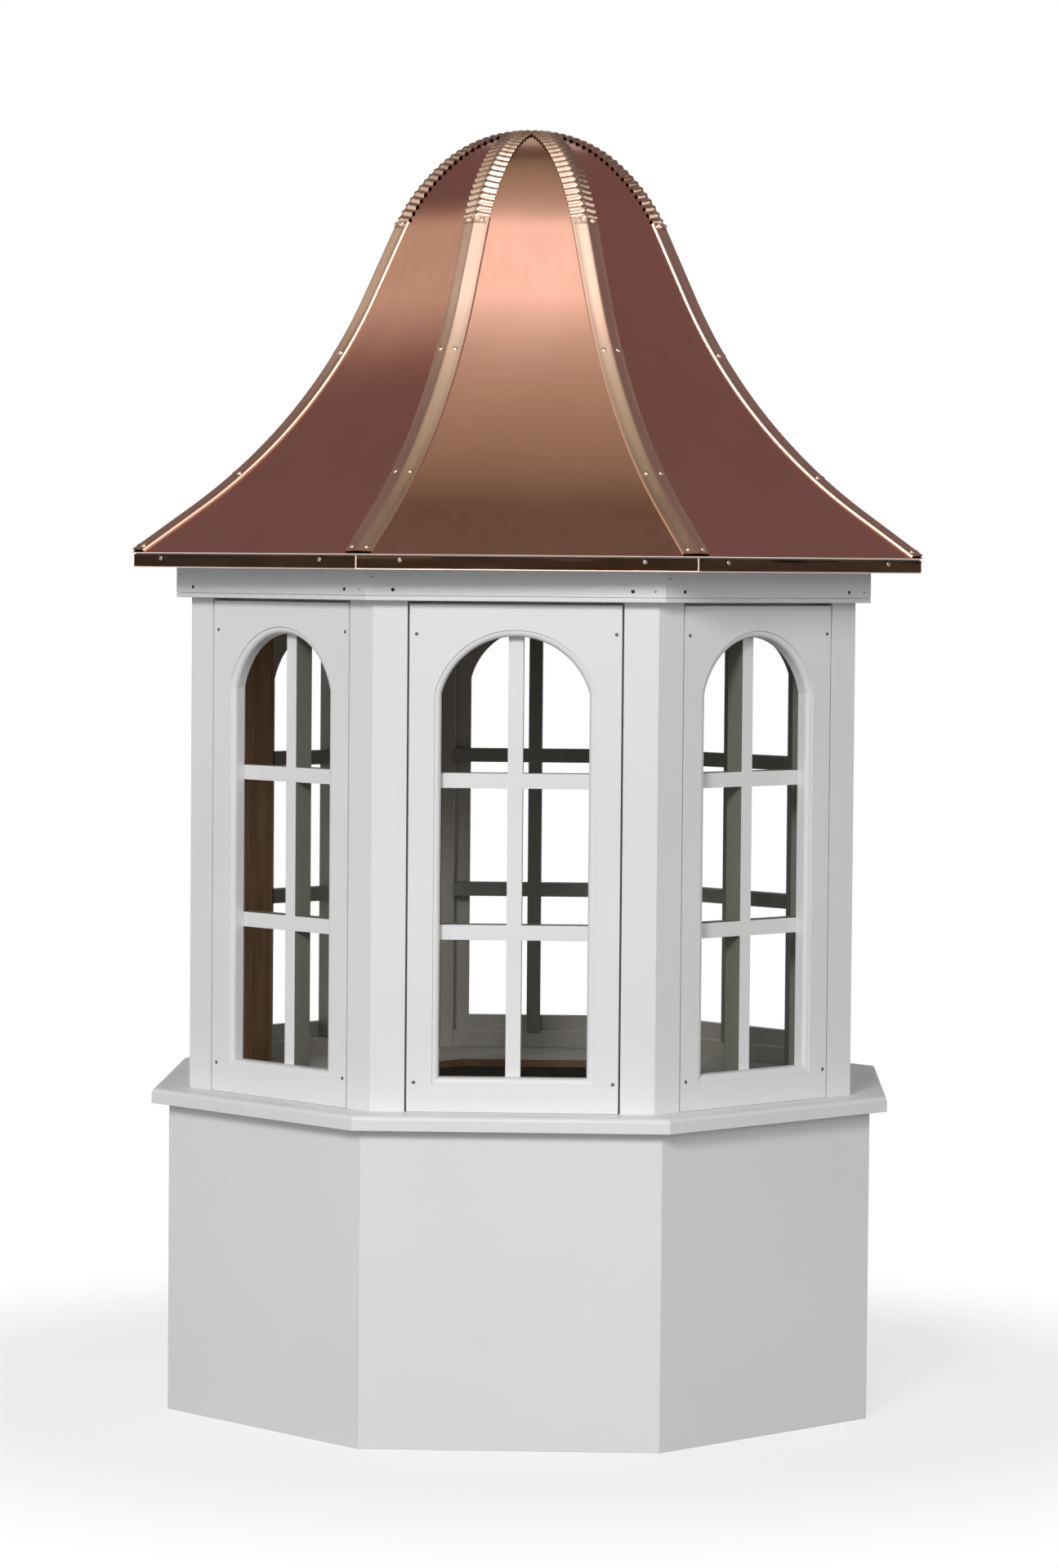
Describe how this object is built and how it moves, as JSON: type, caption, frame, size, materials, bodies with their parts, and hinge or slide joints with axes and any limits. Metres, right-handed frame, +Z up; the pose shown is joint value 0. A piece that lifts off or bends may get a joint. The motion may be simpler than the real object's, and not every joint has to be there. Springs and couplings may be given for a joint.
{
  "type": "octagonal cupola",
  "caption": "Octagonal roof cupola with white vinyl base, open arched windows with bars and a bell-shaped copper roof",
  "frame": {"origin": "on the vertical axis, at the underside of the base", "axes": "+Z up along the axis, front window faces -Y, +X to the right seen from the front"},
  "size_m": [1.0358, 1.0358, 1.6885],
  "materials": {
    "white_vinyl": "satin white cellular vinyl board",
    "copper_sheet": "bright mill-finish copper sheet",
    "framing_timber": "bare planed softwood",
    "plywood": "plywood, its top face painted white"
  },
  "bodies": {
    "root": {"base_corner_blocks": "framing_timber", "base_panel_back": "white_vinyl", "base_panel_back_left": "white_vinyl", "base_panel_back_right": "white_vinyl", "base_panel_front": "white_vinyl", "base_panel_front_left": "white_vinyl", "base_panel_front_right": "white_vinyl", "base_panel_left": "white_vinyl", "base_panel_right": "white_vinyl", "bottom_rails": "white_vinyl", "corner_backers": "white_vinyl", "corner_posts": "white_vinyl", "corner_studs": "framing_timber", "crown_caps": "copper_sheet", "deck_ring": "plywood", "eave_band": "copper_sheet", "eave_board": "white_vinyl", "frieze_ring": "white_vinyl", "head_rails": "white_vinyl", "hip_strips": "copper_sheet", "king_block": "framing_timber", "roof_panel_back": "copper_sheet", "roof_panel_back_left": "copper_sheet", "roof_panel_back_right": "copper_sheet", "roof_panel_front": "copper_sheet", "roof_panel_front_left": "copper_sheet", "roof_panel_front_right": "copper_sheet", "roof_panel_left": "copper_sheet", "roof_panel_right": "copper_sheet", "roof_rafters": "framing_timber", "sill_ring": "white_vinyl", "window_bars_back": "white_vinyl", "window_bars_back_left": "white_vinyl", "window_bars_back_right": "white_vinyl", "window_bars_front": "white_vinyl", "window_bars_front_left": "white_vinyl", "window_bars_front_right": "white_vinyl", "window_bars_left": "white_vinyl", "window_bars_right": "white_vinyl", "window_panel_back": "white_vinyl", "window_panel_back_left": "white_vinyl", "window_panel_back_right": "white_vinyl", "window_panel_front": "white_vinyl", "window_panel_front_left": "white_vinyl", "window_panel_front_right": "white_vinyl", "window_panel_left": "white_vinyl", "window_panel_right": "white_vinyl"}
  },
  "joints": []
}
